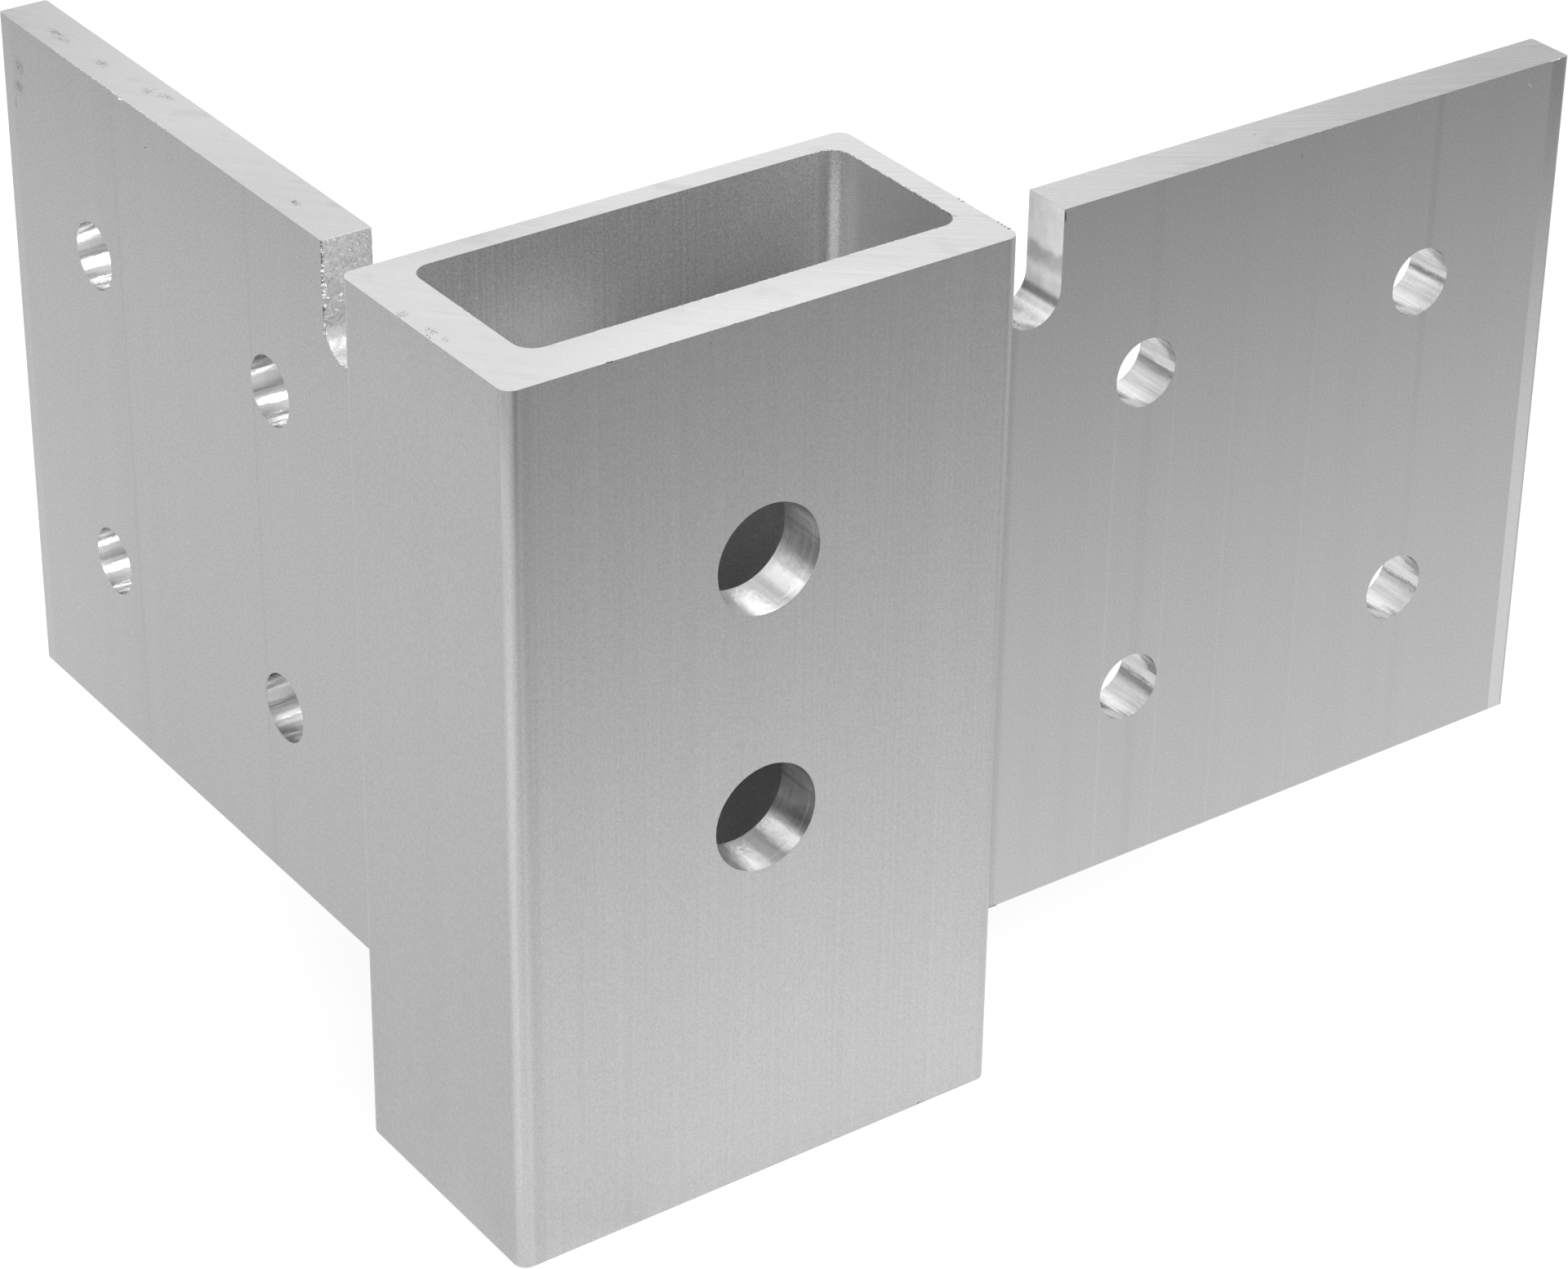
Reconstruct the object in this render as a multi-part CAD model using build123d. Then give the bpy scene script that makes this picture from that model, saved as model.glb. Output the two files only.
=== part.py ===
from build123d import *
import os

# Corner bracket, cut from one length of extruded aluminium section and machined.
# A rectangular pocket stands at the corner, open at both ends, and two flat flanges leave it
# at right angles. The origin is on the pocket's axis, at the level of the pocket's lower end.
# X runs along the pocket's long side, Y away from its front wall, Z up along the pocket.
# All sizes are in millimetres.

# Pocket, measured over its outer faces
pocket_outer_width = 100.0
pocket_outer_depth = 50.0
pocket_height = 169.0
pocket_outer_radius = 2.4
pocket_inner_radius = 3.8

# Its four walls: the two outward walls are heavy, the two towards the flanges' angle are light
front_wall = 10.0
left_wall = 10.0
back_wall = 4.8
right_wall = 4.7

# Flanges: one runs back from the pocket's back wall, the other sideways from its right wall.
# The set-back leaves a narrow step between the pocket's outer face and the flange's.
flange_length = 126.5
flange_thickness = 9.5
flange_height = 135.3
flange_setback = 3.85
flange_tip_radius = 0.6
flange_root_radius = 1.0

# Round-bottomed slot milled down from the top of each flange, against the pocket
slot_width = 12.0
slot_depth = 20.5

# Square group of bolt holes, centred on each flange
flange_hole_diameter = 13.0
flange_hole_pitch = 63.0

# Two larger holes through the pocket's front wall, centred on its width
pocket_hole_diameter = 20.5
pocket_hole_pitch = 50.0
pocket_hole_first_drop = 45.0

# Run-out of the cutters past the faces they leave
cutter_runout = 5.0

# Sizes and places that follow from the ones above
pocket_inner_width = pocket_outer_width - left_wall - right_wall
pocket_inner_depth = pocket_outer_depth - front_wall - back_wall
outer_left = -pocket_inner_width / 2 - left_wall
outer_right = outer_left + pocket_outer_width
outer_front = -pocket_inner_depth / 2 - front_wall
outer_back = outer_front + pocket_outer_depth
outer_middle_x = (outer_left + outer_right) / 2
outer_middle_y = (outer_front + outer_back) / 2
flange_bottom = pocket_height - flange_height
flange_middle_z = pocket_height - flange_height / 2
step_flat = flange_setback - pocket_outer_radius
root_fillet = min(flange_root_radius, 0.9 * step_flat)

# The flange that runs back
back_flange_outer_x = outer_left + flange_setback
back_flange_inner_x = back_flange_outer_x + flange_thickness
back_flange_tip_y = outer_back + flange_length
back_flange_middle_y = outer_back + flange_length / 2

# The flange that runs sideways
side_flange_outer_y = outer_front + flange_setback
side_flange_inner_y = side_flange_outer_y + flange_thickness
side_flange_tip_x = outer_right + flange_length
side_flange_middle_x = outer_right + flange_length / 2


def corner_points(*places):
    """Pick the sketch corners that lie nearest to the given places."""
    return lambda sketch: [sketch.vertices().sort_by_distance(place)[0] for place in places]


def extruded_section():
    """The section as it leaves the die: walls, flanges, rounded corners and root fillets."""
    back_flange_length = back_flange_tip_y - outer_middle_y
    side_flange_length = side_flange_tip_x - outer_middle_x
    tips = corner_points(
        (back_flange_outer_x, back_flange_tip_y, 0),
        (back_flange_inner_x, back_flange_tip_y, 0),
        (side_flange_tip_x, side_flange_outer_y, 0),
        (side_flange_tip_x, side_flange_inner_y, 0),
    )
    roots = corner_points(
        (back_flange_outer_x, outer_back, 0),
        (back_flange_inner_x, outer_back, 0),
        (outer_right, side_flange_outer_y, 0),
        (outer_right, side_flange_inner_y, 0),
    )
    with BuildSketch() as section:
        with Locations((outer_middle_x, outer_middle_y)):
            RectangleRounded(pocket_outer_width, pocket_outer_depth, pocket_outer_radius)
        with Locations((back_flange_outer_x, outer_middle_y)):
            Rectangle(flange_thickness, back_flange_length, align=(Align.MIN, Align.MIN))
        with Locations((outer_middle_x, side_flange_outer_y)):
            Rectangle(side_flange_length, flange_thickness, align=(Align.MIN, Align.MIN))
        fillet(tips(section), flange_tip_radius)
        fillet(roots(section), root_fillet)
        RectangleRounded(
            pocket_inner_width, pocket_inner_depth, pocket_inner_radius, mode=Mode.SUBTRACT
        )
    return section.sketch


def below_flanges():
    """Stock sawn away under the two flanges, flush with the pocket's outer faces."""
    along = flange_length + cutter_runout
    across = flange_setback + flange_thickness + cutter_runout
    depth = flange_bottom + cutter_runout
    from_corner = (Align.MIN, Align.MIN, Align.MAX)
    under_back = Pos(outer_left, outer_back, flange_bottom) * Box(across, along, depth, align=from_corner)
    under_side = Pos(outer_right, outer_front, flange_bottom) * Box(along, across, depth, align=from_corner)
    return [under_back, under_side]


def flange_plane(outward, at):
    """Upright working plane on a flange's outer face: local X along the flange, local Y up."""
    along = Vector(0, 0, 1).cross(outward)
    return Plane(origin=at, x_dir=along, z_dir=outward)


def flange_cuts(face, slot_offset):
    """The slot and the four bolt holes of one flange, cut right through from its outer face."""
    slot_top = pocket_height - flange_middle_z
    with BuildSketch(face) as outline:
        with Locations((slot_offset, slot_top)):
            SlotOverall(2 * slot_depth, slot_width, rotation=90)
        with GridLocations(flange_hole_pitch, flange_hole_pitch, 2, 2):
            Circle(flange_hole_diameter / 2)
    return extrude(outline.sketch, flange_thickness + cutter_runout, both=True)


def pocket_holes():
    """The two large holes, drilled through the front wall only."""
    first_z = pocket_height - pocket_hole_first_drop
    front = Plane(origin=(outer_middle_x, outer_front, 0), x_dir=(1, 0, 0), z_dir=(0, -1, 0))
    with BuildSketch(front) as outline:
        with Locations((0, first_z), (0, first_z - pocket_hole_pitch)):
            Circle(pocket_hole_diameter / 2)
    drill = extrude(outline.sketch, cutter_runout)
    drill += extrude(outline.sketch, -(front_wall + cutter_runout))
    return drill


def corner_bracket():
    """The extruded section cut to length, then sawn, slotted and drilled."""
    body = extrude(extruded_section(), pocket_height)
    for waste in below_flanges():
        body -= waste
    slot_from_middle = (flange_length - slot_width) / 2
    back_face = flange_plane(
        Vector(-1, 0, 0), (back_flange_outer_x, back_flange_middle_y, flange_middle_z)
    )
    side_face = flange_plane(
        Vector(0, -1, 0), (side_flange_middle_x, side_flange_outer_y, flange_middle_z)
    )
    body -= flange_cuts(back_face, slot_from_middle)
    body -= flange_cuts(side_face, -slot_from_middle)
    body -= pocket_holes()
    return body


bracket = corner_bracket()
bracket.label = "corner_bracket"

os.makedirs("parts", exist_ok=True)
export_step(bracket, "parts/corner_bracket.step")

box = bracket.bounding_box()
print("corner_bracket", round(bracket.volume), "mm3", len(bracket.solids()), "solid")
print("low", box.min, "high", box.max, "centre of mass", bracket.center(CenterOf.MASS))
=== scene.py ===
import bmesh
import bpy
import math
import random
from mathutils import Euler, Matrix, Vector, noise


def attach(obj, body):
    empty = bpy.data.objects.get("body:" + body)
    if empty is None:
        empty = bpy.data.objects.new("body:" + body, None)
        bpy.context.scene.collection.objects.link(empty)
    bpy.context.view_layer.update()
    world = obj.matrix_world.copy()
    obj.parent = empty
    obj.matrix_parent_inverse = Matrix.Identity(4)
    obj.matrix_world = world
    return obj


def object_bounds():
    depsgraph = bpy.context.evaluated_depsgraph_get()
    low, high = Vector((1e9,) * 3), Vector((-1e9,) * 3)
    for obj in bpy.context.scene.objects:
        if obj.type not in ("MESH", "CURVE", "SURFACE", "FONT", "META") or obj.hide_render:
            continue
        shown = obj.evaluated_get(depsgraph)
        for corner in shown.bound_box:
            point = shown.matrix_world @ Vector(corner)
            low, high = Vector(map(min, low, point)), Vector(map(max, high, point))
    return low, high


# Corner bracket in mill-finish aluminium: extruded faces, sawn ends, bored holes, milled slots.
# The row's frame has X along the pocket's long side, Y away from its front wall and Z up, with
# the origin on the pocket's axis at its lower end. Blender's objects are in metres; the sizes,
# places and distances in this script are in millimetres, except the lamps' and the camera's.
# A grey is a share of white, and so is what a mark or a band of light adds to it.

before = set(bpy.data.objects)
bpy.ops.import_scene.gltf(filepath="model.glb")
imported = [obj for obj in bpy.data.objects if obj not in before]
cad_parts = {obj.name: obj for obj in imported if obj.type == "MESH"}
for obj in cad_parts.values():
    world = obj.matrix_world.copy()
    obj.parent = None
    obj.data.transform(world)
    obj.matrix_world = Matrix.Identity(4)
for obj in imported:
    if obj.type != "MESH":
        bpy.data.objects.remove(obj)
cad_low, cad_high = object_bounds()
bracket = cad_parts["corner_bracket"]
mm = 0.001

# Sizes of the bracket that the finishes follow
pocket_outer_width = 100.0
pocket_outer_depth = 50.0
pocket_height = 169.0
pocket_outer_radius = 2.4
pocket_radius = 3.8
front_wall = 10.0
left_wall = 10.0
back_wall = 4.8
right_wall = 4.7
flange_length = 126.5
flange_thickness = 9.5
flange_height = 135.3
flange_setback = 3.85
slot_width = 12.0
slot_depth = 20.5
hole_pitch = 63.0
hole_radius = 6.5
pocket_hole_radius = 10.25
pocket_hole_first_drop = 45.0
pocket_hole_pitch = 50.0

# Places that follow from them
pocket_half_width = (pocket_outer_width - left_wall - right_wall) / 2
pocket_half_depth = (pocket_outer_depth - front_wall - back_wall) / 2
outer_left = -pocket_half_width - left_wall
outer_right = outer_left + pocket_outer_width
outer_front = -pocket_half_depth - front_wall
outer_back = outer_front + pocket_outer_depth
back_flange_x = outer_left + flange_setback
back_flange_inner_x = back_flange_x + flange_thickness
back_flange_tip_y = outer_back + flange_length
side_flange_y = outer_front + flange_setback
side_flange_inner_y = side_flange_y + flange_thickness
side_flange_tip_x = outer_right + flange_length
flange_bottom = pocket_height - flange_height
flange_middle_z = pocket_height - flange_height / 2
back_flange_middle_y = outer_back + flange_length / 2
slot_radius = slot_width / 2
slot_bottom = pocket_height - slot_depth
slot_straight = slot_depth - slot_radius
slot_centre_z = slot_bottom + slot_radius
back_slot_centre_y = outer_back + slot_radius
back_slot_far_y = outer_back + slot_width
pocket_hole_high_z = pocket_height - pocket_hole_first_drop
pocket_hole_low_z = pocket_hole_high_z - pocket_hole_pitch
pocket_hole_middle_z = (pocket_hole_high_z + pocket_hole_low_z) / 2


# Helpers that build node trees

class Nodes:
    """Adds nodes to one tree. A value may be a number, a tuple or another node's output."""

    def __init__(self, tree):
        self.tree = tree
        self.tree.nodes.clear()

    def add(self, kind, **settings):
        node = self.tree.nodes.new(kind)
        for name, value in settings.items():
            setattr(node, name, value)
        return node

    def put(self, value, socket):
        if isinstance(value, bpy.types.NodeSocket):
            self.tree.links.new(value, socket)
        else:
            socket.default_value = value

    def math(self, operation, *values):
        node = self.add("ShaderNodeMath", operation=operation)
        for value, socket in zip(values, node.inputs):
            self.put(value, socket)
        return node.outputs[0]

    def total(self, *values):
        result = values[0]
        for value in values[1:]:
            result = self.math("ADD", result, value)
        return result

    def product(self, *values):
        result = values[0]
        for value in values[1:]:
            result = self.math("MULTIPLY", result, value)
        return result

    def vector(self, operation, *values):
        node = self.add("ShaderNodeVectorMath", operation=operation)
        for value, socket in zip(values, node.inputs):
            self.put(value, socket)
        name = "Value" if operation in ("DOT_PRODUCT", "LENGTH", "DISTANCE") else "Vector"
        return node.outputs[name]

    def scaled(self, vector, factor):
        node = self.add("ShaderNodeVectorMath", operation="SCALE")
        self.put(vector, node.inputs[0])
        self.put(factor, node.inputs["Scale"])
        return node.outputs["Vector"]

    def parts(self, vector):
        node = self.add("ShaderNodeSeparateXYZ")
        self.put(vector, node.inputs[0])
        return node.outputs[0], node.outputs[1], node.outputs[2]

    def join(self, x, y, z):
        node = self.add("ShaderNodeCombineXYZ")
        for value, socket in zip((x, y, z), node.inputs):
            self.put(value, socket)
        return node.outputs[0]

    def mix(self, share, first, second):
        node = self.add("ShaderNodeMix", data_type="FLOAT")
        self.put(share, node.inputs[0])
        self.put(first, node.inputs[2])
        self.put(second, node.inputs[3])
        return node.outputs[0]

    def mix_vector(self, share, first, second):
        node = self.add("ShaderNodeMix", data_type="VECTOR")
        self.put(share, node.inputs[0])
        self.put(first, node.inputs[4])
        self.put(second, node.inputs[5])
        return node.outputs[1]

    def ramp(self, value, start, end, low=0.0, high=1.0):
        """Goes smoothly from low, at start, to high, at end, and stays there."""
        node = self.add("ShaderNodeMapRange", interpolation_type="SMOOTHSTEP")
        for given, socket in zip((value, start, end, low, high), node.inputs):
            self.put(given, socket)
        return node.outputs[0]

    def band(self, value, start, full, waning, end):
        """Rises smoothly from 0 at start to 1 at full, and falls to 0 from waning to end."""
        return self.product(self.ramp(value, start, full), self.ramp(value, end, waning))

    def bands(self, value, *rows):
        """Adds up bands. Each row says where one starts, is full, wanes and ends, and what it adds."""
        return self.total(*(self.product(self.band(value, *row[:4]), row[4]) for row in rows))

    def spot(self, place, middle, reach):
        """1 in the middle of a soft spot, 0 outside its reach along each axis."""
        away = self.vector("DIVIDE", self.vector("SUBTRACT", place, middle), reach)
        return self.ramp(self.vector("LENGTH", away), 1.0, 0.2)

    def noise(self, vector, scale=1.0, detail=2.0, roughness=0.5):
        """Smooth noise about zero, from about -0.5 to 0.5."""
        node = self.add("ShaderNodeTexNoise")
        self.put(vector, node.inputs["Vector"])
        self.put(scale, node.inputs["Scale"])
        self.put(detail, node.inputs["Detail"])
        self.put(roughness, node.inputs["Roughness"])
        return self.math("SUBTRACT", node.outputs["Fac"], 0.5)

    def inside_box(self, place, low, high):
        """1 inside the box, 0 outside it."""
        centre = tuple((a + b) / 2 for a, b in zip(low, high))
        half = tuple((b - a) / 2 for a, b in zip(low, high))
        away = self.vector("ABSOLUTE", self.vector("SUBTRACT", place, centre))
        x, y, z = self.parts(self.vector("SUBTRACT", away, half))
        return self.math("LESS_THAN", self.math("MAXIMUM", self.math("MAXIMUM", x, y), z), 0.0)


# What the finishes of the bracket share

def zone_masks(nodes, place, facing_up):
    """One mask for each finish that isn't the plain extruded face."""
    skin, margin, nearly_level = 0.05, 1.0, 0.9
    back_low, back_high = back_flange_x + skin, back_flange_inner_x - skin
    side_low, side_high = side_flange_y + skin, side_flange_inner_y - skin
    front_low, front_high = outer_front + skin, outer_front + front_wall - skin
    hole_low = flange_middle_z - hole_pitch / 2 - hole_radius - margin
    hole_high = flange_middle_z + hole_pitch / 2 + hole_radius + margin
    top = pocket_height - skin
    z = nodes.parts(place)[2]
    level = nodes.math("GREATER_THAN", nodes.math("ABSOLUTE", facing_up), nearly_level)
    at_top = nodes.math("GREATER_THAN", z, top)
    at_foot = nodes.math("LESS_THAN", z, skin)
    at_flange_foot = nodes.math("COMPARE", z, flange_bottom, skin)
    boxes = {
        "back_bores": (
            (back_low, back_slot_far_y + margin, hole_low),
            (back_high, back_flange_tip_y - slot_width, hole_high),
        ),
        "side_bores": (
            (outer_right + slot_width + margin, side_low, hole_low),
            (side_flange_tip_x - slot_width, side_high, hole_high),
        ),
        "front_bores": (
            (outer_left + left_wall, front_low, pocket_hole_low_z - pocket_hole_radius - margin),
            (outer_right - right_wall, front_high, pocket_hole_high_z + pocket_hole_radius + margin),
        ),
        "back_slot": (
            (back_low, outer_back, slot_bottom - skin),
            (back_high, back_slot_far_y + skin, top),
        ),
        "side_slot": (
            (outer_right, side_low, slot_bottom - skin),
            (outer_right + slot_width + skin, side_high, top),
        ),
        "pocket": (
            (-pocket_half_width - skin, -pocket_half_depth - skin, -margin),
            (pocket_half_width + skin, pocket_half_depth + skin, top),
        ),
    }
    masks = {name: nodes.inside_box(place, low, high) for name, (low, high) in boxes.items()}
    masks["sawn"] = nodes.product(level, nodes.total(at_top, at_foot, at_flange_foot))
    return masks


class Surface:
    """What the finishes read at each point: its place, its facing, the masks and the marks."""

    def __init__(self, nodes):
        coordinates = nodes.add("ShaderNodeTexCoord")
        self.place = nodes.scaled(coordinates.outputs["Object"], 1 / mm)
        self.normal = coordinates.outputs["Normal"]
        self.x, self.y, self.z = nodes.parts(self.place)
        self.facing_x, self.facing_y, self.facing_up = nodes.parts(self.normal)
        self.masks = zone_masks(nodes, self.place, self.facing_up)
        bore_names, slot_names = ("back_bores", "side_bores", "front_bores"), ("back_slot", "side_slot")
        self.bores = nodes.total(*(self.masks[name] for name in bore_names))
        self.slots = nodes.total(*(self.masks[name] for name in slot_names))
        self.add_marks(nodes)
        self.add_turn(nodes)

    def add_marks(self, nodes):
        """One noise makes the fine marks of every finish, and another the wide ones: upright lines
        of the die, rings round a bore or arcs of the saw. Each pattern says how fast the noise
        changes along X, Y and Z."""
        die_pattern, wide_die_pattern = (1.6, 1.6, 0.012), (0.16, 0.16, 0.002)
        side_rings, back_rings = (0.2, 4.0, 0.2), (4.0, 0.2, 0.2)
        side_streaks, back_streaks = (2.2, 0.15, 2.2), (0.15, 2.2, 2.2)
        side_slot_streaks = (0.2, 0.35, 0.35)
        across_arcs, along_arcs = 1.5, 0.03
        blade_axis = (320.0, 330.0, 0.0)
        level_place = nodes.vector("MULTIPLY", self.place, (1.0, 1.0, 0.0))
        self.from_blade = nodes.vector("SUBTRACT", level_place, blade_axis)
        arcs = nodes.join(
            nodes.product(nodes.vector("LENGTH", self.from_blade), across_arcs),
            nodes.product(self.x, along_arcs),
            0.0,
        )
        rings = nodes.mix_vector(self.masks["back_bores"], side_rings, back_rings)
        pattern = nodes.mix_vector(self.bores, die_pattern, rings)
        pattern = nodes.vector("MULTIPLY", self.place, pattern)
        self.marks = nodes.noise(nodes.mix_vector(self.masks["sawn"], pattern, arcs), detail=2.0)
        streaks = nodes.mix_vector(self.masks["back_bores"], side_streaks, back_streaks)
        wide_pattern = nodes.mix_vector(self.bores, wide_die_pattern, streaks)
        wide_pattern = nodes.mix_vector(self.masks["side_slot"], wide_pattern, side_slot_streaks)
        self.wide_lines = nodes.noise(nodes.vector("MULTIPLY", self.place, wide_pattern), detail=1.0)
        self.grain = nodes.noise(self.place, scale=2.4, detail=2.0, roughness=0.6)

    def add_turn(self, nodes):
        """The angle round a bore's wall, in degrees: -90 at its bottom, 90 at its top, and 0 at the
        side further along X, or along Y in the back flange."""
        level_part = nodes.mix(self.masks["back_bores"], self.facing_x, self.facing_y)
        inward = nodes.product(level_part, -1.0)
        downward = nodes.product(self.facing_up, -1.0)
        self.turn = nodes.math("DEGREES", nodes.math("ARCTAN2", downward, inward))
        # The bottom of the large bores
        self.front_bottom = nodes.band(self.turn, -126.0, -94.0, -72.0, -66.0)


# Finishes of the bracket: each gives its grey and its roughness

def extruded_finish(nodes, surface):
    """Faces left by the die: grain, upright lines, strips where the die rubbed more or less, and painted
    highlights and shade at the corners and along the side flange's root.
    """
    x, y, z, marks = surface.x, surface.y, surface.z, surface.marks
    skin = 0.1
    from_left = nodes.math("SUBTRACT", x, outer_left)
    from_right = nodes.math("SUBTRACT", x, outer_right)
    from_front = nodes.math("SUBTRACT", y, outer_front)
    on_front = nodes.math("LESS_THAN", from_front, skin)
    near_front = nodes.math("LESS_THAN", from_front, pocket_outer_radius + 0.6)
    on_left = nodes.ramp(from_left, 1.0, 0.5)
    on_side_flange = nodes.math("COMPARE", y, side_flange_y, skin)
    on_back_flange = nodes.math("COMPARE", x, back_flange_x, skin)
    # The front corner's rounding, where a highlight is painted
    front_corner_highlight = nodes.product(
        nodes.ramp(from_left, 2.9, 1.9), nodes.ramp(from_front, pocket_outer_radius, 1.2)
    )
    back_corner_highlight = nodes.product(
        nodes.ramp(from_left, 1.5, 0.5), nodes.ramp(y, outer_back - 2.6, outer_back - 1.4)
    )
    side_tip = nodes.inside_box(
        surface.place,
        (side_flange_tip_x - 3.8, side_flange_y - skin, flange_bottom),
        (side_flange_tip_x - 0.8, side_flange_inner_y + skin, pocket_height),
    )
    mirrored_side = nodes.product(
        nodes.math("COMPARE", x, outer_right, skin), nodes.math("GREATER_THAN", y, side_flange_y)
    )

    # Areas, and how much paler each is
    areas = (
        # Painted highlight on the front corner, more so towards the top
        (front_corner_highlight, nodes.ramp(z, 60.0, 150.0, 0.05, 0.09)),
        # Each flange has a strip of another grey near its tip
        (side_tip, nodes.ramp(z, 90.0, 180.0, 0.12, -0.10)),
        (nodes.ramp(y, back_flange_tip_y - 3.6, back_flange_tip_y - 3.2), 0.03),
        # The back flange is a little paler towards its far lower corner
        (nodes.product(nodes.ramp(y, 90.0, back_flange_tip_y), nodes.ramp(z, 120.0, 40.0)), 0.05),
        # The left wall is duller near the foot of its front end, and a little paler towards the top
        (nodes.product(on_left, nodes.ramp(y, -8.0, -22.0), nodes.ramp(z, 24.0, 4.0)), -0.05),
        (on_left, nodes.ramp(z, 135.0, 160.0, 0.0, 0.025)),
        # Painted highlight on the pocket's back left corner, beside the slot
        (back_corner_highlight, 0.05),
        # Painted light on the pocket's right side, which the slot mirrors
        (mirrored_side, 0.14),
    )

    # Upright strips: the face, what is measured across it, where the strip starts, is full, wanes
    # and ends, and how much paler it is
    strips = [
        # Near the top, painted highlight on the front corner's left side and painted shade on its right side
        (near_front, from_left, (0.02, 0.12, 0.30, 0.62), nodes.ramp(z, 135.0, 155.0, 0.0, 0.11)),
        (near_front, from_left, (0.67, 0.95, 1.7, 2.3), nodes.ramp(z, 140.0, 155.0, -0.05, -0.10)),
        # Painted shade in dull strips beside it, at the right end of the front wall, and along the side
        # flange's root
        (on_front, from_left, (2.6, 3.2, 4.5, 5.4), -0.035),
        (near_front, from_right, (-2.9, -2.0, -1.2, -0.4), nodes.ramp(z, 40.0, 110.0, -0.03, -0.09)),
        (on_side_flange, from_right, (0.1, 0.9, 2.2, 3.6), -0.065),
        # A worn line on the side flange
        (on_side_flange, x, (142.2, 143.2, 143.8, 144.8), nodes.ramp(z, 90.0, 150.0, -0.012, -0.045)),
    ]

    # Lines that the die left on the flanges: middle, half width and how much paler. The pale ones
    # fade towards the top.
    side_lines = (
        (72.9, 0.4, 0.03), (80.1, 1.6, -0.02), (85.9, 0.4, 0.025), (99.4, 0.4, 0.02), (117.9, 0.5, 0.02)
    )
    back_lines = ((60.0, 0.8, -0.022), (107.0, 0.9, -0.025))
    for face, across, lines in ((on_side_flange, x, side_lines), (on_back_flange, y, back_lines)):
        for middle, half_width, paler in lines:
            limits = [middle + half_width * share for share in (-1, -1 / 3, 1 / 3, 1)]
            change = nodes.ramp(z, 150.0, 115.0, 0.0, paler) if paler > 0 else paler
            strips.append((face, across, limits, change))

    grey = nodes.total(
        nodes.ramp(from_front, 2.0, 1.0, 0.60, 0.622),
        nodes.product(surface.wide_lines, 0.03),
        nodes.product(marks, nodes.mix(on_front, 0.035, 0.09)),
        nodes.product(surface.grain, nodes.ramp(y, outer_back, outer_back + 1.0, 0.285, 0.38)),
        *(nodes.product(area, paler) for area, paler in areas),
        *(nodes.product(face, nodes.band(across, *limits), paler) for face, across, limits, paler in strips),
    )
    roughness = nodes.total(
        0.42,
        nodes.product(marks, 0.06),
        nodes.product(front_corner_highlight, -0.08),
        nodes.product(side_tip, -0.10),
        nodes.product(mirrored_side, -0.14),
    )
    return grey, roughness


def pocket_finish(nodes, surface):
    """Inside the pocket the metal is duller, more grained and lightly speckled, with a soft patch of painted
    light on its back wall and a painted highlight, with painted shade and light beside it, in its far right
    corner."""
    x, y, z, facing_x, grain = surface.x, surface.y, surface.z, surface.facing_x, surface.grain
    fine_grain = nodes.noise(nodes.vector("MULTIPLY", surface.place, (1.0, 1.0, 0.7)), scale=6.0, detail=1.0)
    line_strength = nodes.product(
        nodes.ramp(surface.wide_lines, -0.1, 0.1, 0.10, 0.30), nodes.ramp(x, 18.0, 34.0, 1.0, 0.4)
    )
    on_back_wall = nodes.math("GREATER_THAN", y, pocket_half_depth - 1.0)
    # A soft patch of painted light on the back wall, low on the left
    painted_light_middle, painted_light_reach, painted_light_core = (-20.0, pocket_half_depth, 148.0), 22.0, 4.0
    from_painted_light = nodes.vector("DISTANCE", surface.place, painted_light_middle)
    in_corner = nodes.product(
        nodes.ramp(x, pocket_half_width - 4.5, pocket_half_width - 3.5),
        nodes.ramp(y, pocket_half_depth - 8.1, pocket_half_depth - 4.6),
        nodes.ramp(z, pocket_height, pocket_height - 8.0, 0.5, 1.0),
    )
    # Painted highlight down the far right corner
    painted_highlight_band = nodes.product(
        in_corner,
        nodes.band(facing_x, -0.96, -0.74, -0.70, -0.40),
        nodes.ramp(grain, -0.25, 0.25, 0.5, 1.5),
    )
    # Painted shade on the back wall beside the highlight, and painted light on the right wall next to the
    # corner
    painted_shade_and_light_beside = nodes.total(
        nodes.bands(facing_x, (-0.56, -0.40, -0.15, -0.02, -0.045)),
        nodes.ramp(facing_x, -0.86, -0.97, 0.0, 0.10),
    )
    # Paler further down: painted light that offsets the shade deeper in the pocket
    grey = nodes.total(
        nodes.ramp(z, pocket_height - 30.0, pocket_height, 0.80, 0.70),
        nodes.product(surface.marks, line_strength),
        nodes.product(grain, 0.25),
        nodes.product(fine_grain, 0.62),
        nodes.product(on_back_wall, nodes.ramp(x, 14.0, 37.0, -0.02, 0.05)),
        nodes.ramp(grain, 0.16, 0.30, 0.0, 0.20),
        nodes.ramp(from_painted_light, painted_light_reach, painted_light_core, 0.0, 0.17),
        nodes.product(painted_highlight_band, 0.26),
        nodes.product(in_corner, painted_shade_and_light_beside),
    )
    on_right_wall = nodes.product(nodes.ramp(facing_x, -0.7, -0.95), nodes.ramp(y, -10.0, 12.0))
    roughness = nodes.total(0.50, nodes.product(painted_highlight_band, 0.20), nodes.product(on_right_wall, 0.06))
    return grey, roughness


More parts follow.
